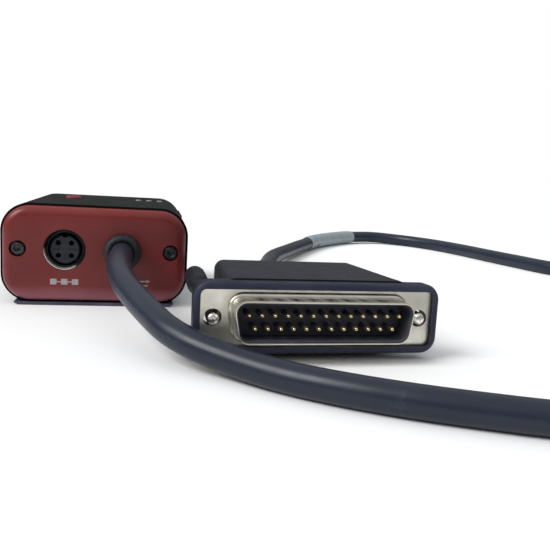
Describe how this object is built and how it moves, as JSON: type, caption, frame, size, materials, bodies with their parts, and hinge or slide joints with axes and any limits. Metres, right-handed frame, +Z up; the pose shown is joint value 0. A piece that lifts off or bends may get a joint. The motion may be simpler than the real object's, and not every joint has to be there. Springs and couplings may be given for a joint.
{
  "type": "laser scanner module",
  "caption": "Compact housed laser scanner: black body, red rear cover with a round network socket, and a captive lead that ends in a wide multi-pin plug.",
  "frame": {"origin": "middle of the underside of the housing's base plate", "axes": "+Z up, the scanning window faces +Y and the rear cover with its ports faces -Y"},
  "size_m": [0.3095, 0.3072, 0.0289],
  "materials": {
    "black_housing": "satin",
    "red_cover": "gloss",
    "red_button": "matte",
    "seal_rubber": "matte",
    "black_steel": "blackened",
    "nickel": "warm nickel plate",
    "gold": "gold plate",
    "slate_moulding": "satin",
    "black_nylon": "satin",
    "cable_jacket": "satin",
    "marker_sleeve": "satin",
    "circuit_board": "satin",
    "cast_alloy": "cast",
    "mirror_coat": "polished",
    "lens_glass": "clear",
    "dark_filter": "dark infrared filter",
    "light_guide": "clear"
  },
  "bodies": {
    "housing": {"housing_shell": "black_housing", "front_bezel": "black_housing", "base_plate": "black_housing", "rear_cover": "red_cover", "rear_gasket": "seal_rubber", "window_seal": "seal_rubber", "ethernet_washer": "seal_rubber", "rear_screw_left": "black_steel", "rear_screw_right": "black_steel", "front_screw_left": "black_steel", "front_screw_right": "black_steel", "base_screw_left": "black_steel", "base_screw_right": "black_steel", "motor_stator": "black_steel", "laser_barrel": "black_steel", "receiver_barrel": "black_steel", "ethernet_shell": "nickel", "ethernet_nut": "nickel", "motor_bearing": "nickel", "plug_shell": "nickel", "ethernet_contacts": "gold", "plug_pins": "gold", "laser_diode": "gold", "gland_body": "slate_moulding", "plug_hood": "slate_moulding", "plug_boot": "slate_moulding", "ethernet_insert": "black_nylon", "gland_nut": "black_nylon", "cable_header": "black_nylon", "board_header": "black_nylon", "processor_chip": "black_nylon", "switch_body": "black_nylon", "encoder_sensor": "black_nylon", "photo_detector": "black_nylon", "plug_insulator": "black_nylon", "io_cable": "cable_jacket", "conductor_bundle": "cable_jacket", "cable_marker": "marker_sleeve", "indicator_board": "circuit_board", "interface_board": "circuit_board", "main_board": "circuit_board", "detector_board": "circuit_board", "optics_frame": "cast_alloy", "collimator_lens": "lens_glass", "receiver_lens": "lens_glass", "front_window": "dark_filter", "light_guide": "light_guide", "status_leds": "light_guide"},
    "mirror_rotor": {"rotor_shaft": "black_steel", "scan_mirror": "mirror_coat", "mirror_clamp": "cast_alloy", "encoder_disc": "nickel"},
    "button": {"teach_button": "red_button", "switch_plunger": "black_nylon"},
    "left_retainer": {"retainer_left": "black_steel"},
    "left_jackscrew": {"jackscrew_left": "slate_moulding"},
    "right_retainer": {"retainer_right": "black_steel"},
    "right_jackscrew": {"jackscrew_right": "slate_moulding"}
  },
  "joints": [
    {"name": "mirror_spin", "type": "hinge", "parent": "housing", "child": "mirror_rotor", "pos_m": [0.0055, 0.0065, 0.015], "axis": [0, 0, 1], "continuous": true},
    {"name": "button_press", "type": "slide", "parent": "housing", "child": "button", "axis": [0, 0, -1], "range_m": [0, 0.0005], "stiffness_N_per_m": 2000, "springref_m": -0.0003},
    {"name": "left_jackscrew_slide", "type": "slide", "parent": "housing", "child": "left_retainer", "axis": [0.0383, -0.9965, -0.075], "range_m": [0, 0.0045]},
    {"name": "left_jackscrew_turn", "type": "hinge", "parent": "left_retainer", "child": "left_jackscrew", "pos_m": [0.0279, -0.07651, 0.00945], "axis": [0.0383, -0.9965, -0.075], "continuous": true},
    {"name": "right_jackscrew_slide", "type": "slide", "parent": "housing", "child": "right_retainer", "axis": [0.0384, -0.999, 0.0209], "range_m": [0, 0.0045]},
    {"name": "right_jackscrew_turn", "type": "hinge", "parent": "right_retainer", "child": "right_jackscrew", "pos_m": [0.075, -0.0772, 0.0095], "axis": [0.0384, -0.999, 0.0209], "continuous": true}
  ]
}
